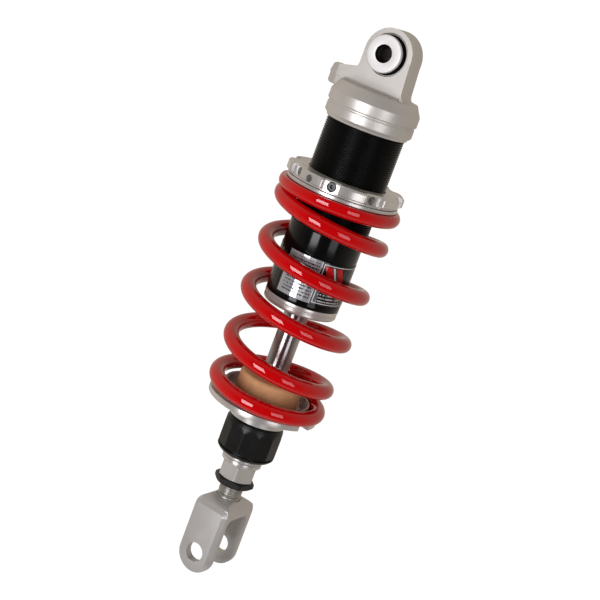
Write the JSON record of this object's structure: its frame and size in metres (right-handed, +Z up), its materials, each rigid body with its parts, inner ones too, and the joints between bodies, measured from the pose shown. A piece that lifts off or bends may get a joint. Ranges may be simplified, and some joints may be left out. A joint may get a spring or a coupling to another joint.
{
  "type": "rear shock absorber",
  "caption": "Coil-over rear shock absorber with an eye at the top, a clevis below, a red coil spring, and preload, rebound and length adjusters.",
  "frame": {"origin": "centre of the upper eye, on the upper mounting bolt's axis", "axes": "+Z up along the damper's axis, both mounting bolts along Y, gas plug boss toward -X"},
  "size_m": [0.0797, 0.0799, 0.3727],
  "materials": {
    "cast_satin": "fine bead-blasted satin",
    "turned_aluminium": "turned and satin anodised",
    "black_anodised": "black anodised, semi-gloss",
    "red_coat": "glossy red powder coat",
    "hard_chrome": "polished hard chrome",
    "plated_steel": "zinc-plated",
    "black_oxide": "black oxide",
    "bronze": "bearing bronze",
    "black_rubber": "matt",
    "tan_foam": "closed-cell polyurethane foam",
    "white_plastic": "nylon",
    "label_foil": "printed foil"
  },
  "bodies": {
    "damper_body": {"top_cap": "cast_satin", "gas_plug": "plated_steel", "eye_bush_shell": "plated_steel", "eye_bush_rubber": "black_rubber", "body_tube": "black_anodised", "cap_oring": "black_rubber", "body_label": "label_foil", "seal_head": "turned_aluminium", "seal_head_oring": "black_rubber", "guide_bush": "bronze", "rod_seal": "black_rubber", "wiper_seal": "black_rubber", "coil_spring": "red_coat"},
    "eye_sleeve": {"eye_inner_sleeve": "plated_steel", "eye_collar_front": "turned_aluminium", "eye_collar_rear": "turned_aluminium"},
    "gas_piston": {"floating_piston": "turned_aluminium", "floating_piston_oring": "black_rubber"},
    "spring_seat": {"upper_spring_seat": "turned_aluminium"},
    "preload": {"preload_ring": "turned_aluminium", "ring_lock_screw": "plated_steel", "ring_lock_pad": "white_plastic"},
    "shaft": {"piston_rod": "hard_chrome", "main_piston": "turned_aluminium", "piston_band": "bronze", "compression_shims": "plated_steel", "rebound_shims": "plated_steel", "piston_nut": "plated_steel", "top_out_bumper": "black_rubber", "bump_stop": "tan_foam", "lower_spring_seat": "turned_aluminium", "rod_foot": "turned_aluminium", "detent_ball": "plated_steel", "detent_spring": "plated_steel", "knob_retainer": "turned_aluminium", "adjuster_washer": "turned_aluminium", "adjuster_clip": "plated_steel"},
    "rebound_control": {"rebound_knob": "black_anodised"},
    "needle": {"adjuster_needle": "plated_steel"},
    "length_control": {"length_adjuster": "cast_satin"},
    "jam_nut": {"lock_nut": "black_oxide"},
    "fork": {"clevis": "cast_satin", "clevis_stud": "plated_steel"}
  },
  "joints": [
    {"name": "eye_pivot", "type": "hinge", "parent": "damper_body", "child": "eye_sleeve", "pos_m": [0, 0, 0], "axis": [0, 1, 0], "range_deg": [-15, 15], "stiffness_Nm_per_rad": 8},
    {"name": "rod_slide", "type": "slide", "parent": "damper_body", "child": "shaft", "axis": [0, 0, 1], "range_m": [0, 0.048], "stiffness_N_per_m": 80000, "deforming": ["coil_spring"]},
    {"name": "gas_piston_slide", "type": "slide", "parent": "damper_body", "child": "gas_piston", "axis": [0, 0, 1], "range_m": [0, 0.0065]},
    {"name": "preload_turn", "type": "hinge", "parent": "spring_seat", "child": "preload", "pos_m": [0, 0, -0.0828], "axis": [0, 0, 1], "range_deg": [0, 7201]},
    {"name": "preload_travel", "type": "slide", "parent": "damper_body", "child": "spring_seat", "axis": [0, 0, 1], "range_m": [0, 0.03]},
    {"name": "rebound_turn", "type": "hinge", "parent": "shaft", "child": "rebound_control", "pos_m": [0, 0, -0.258], "axis": [0, 0, 1], "range_deg": [-451, 451]},
    {"name": "needle_travel", "type": "slide", "parent": "shaft", "child": "needle", "axis": [0, 0, 1], "range_m": [-0.00125, 0.00125]},
    {"name": "length_turn", "type": "hinge", "parent": "shaft", "child": "length_control", "pos_m": [0, 0, -0.2835], "axis": [0, 0, 1], "range_deg": [0, 2401]},
    {"name": "length_travel", "type": "slide", "parent": "shaft", "child": "fork", "axis": [0, 0, -1], "range_m": [0, 0.01]},
    {"name": "lock_nut_turn", "type": "hinge", "parent": "shaft", "child": "jam_nut", "pos_m": [0, 0, -0.2915], "axis": [0, 0, 1], "range_deg": [0, 60]}
  ],
  "couplings": [
    {"joint": "gas_piston_slide", "follows": "rod_slide", "ratio": 0.13223},
    {"joint": "preload_turn", "follows": "preload_travel", "rad_per_m": 4188.8},
    {"joint": "rebound_turn", "follows": "needle_travel", "rad_per_m": 6283.2},
    {"joint": "length_turn", "follows": "length_travel", "rad_per_m": 4188.8}
  ]
}
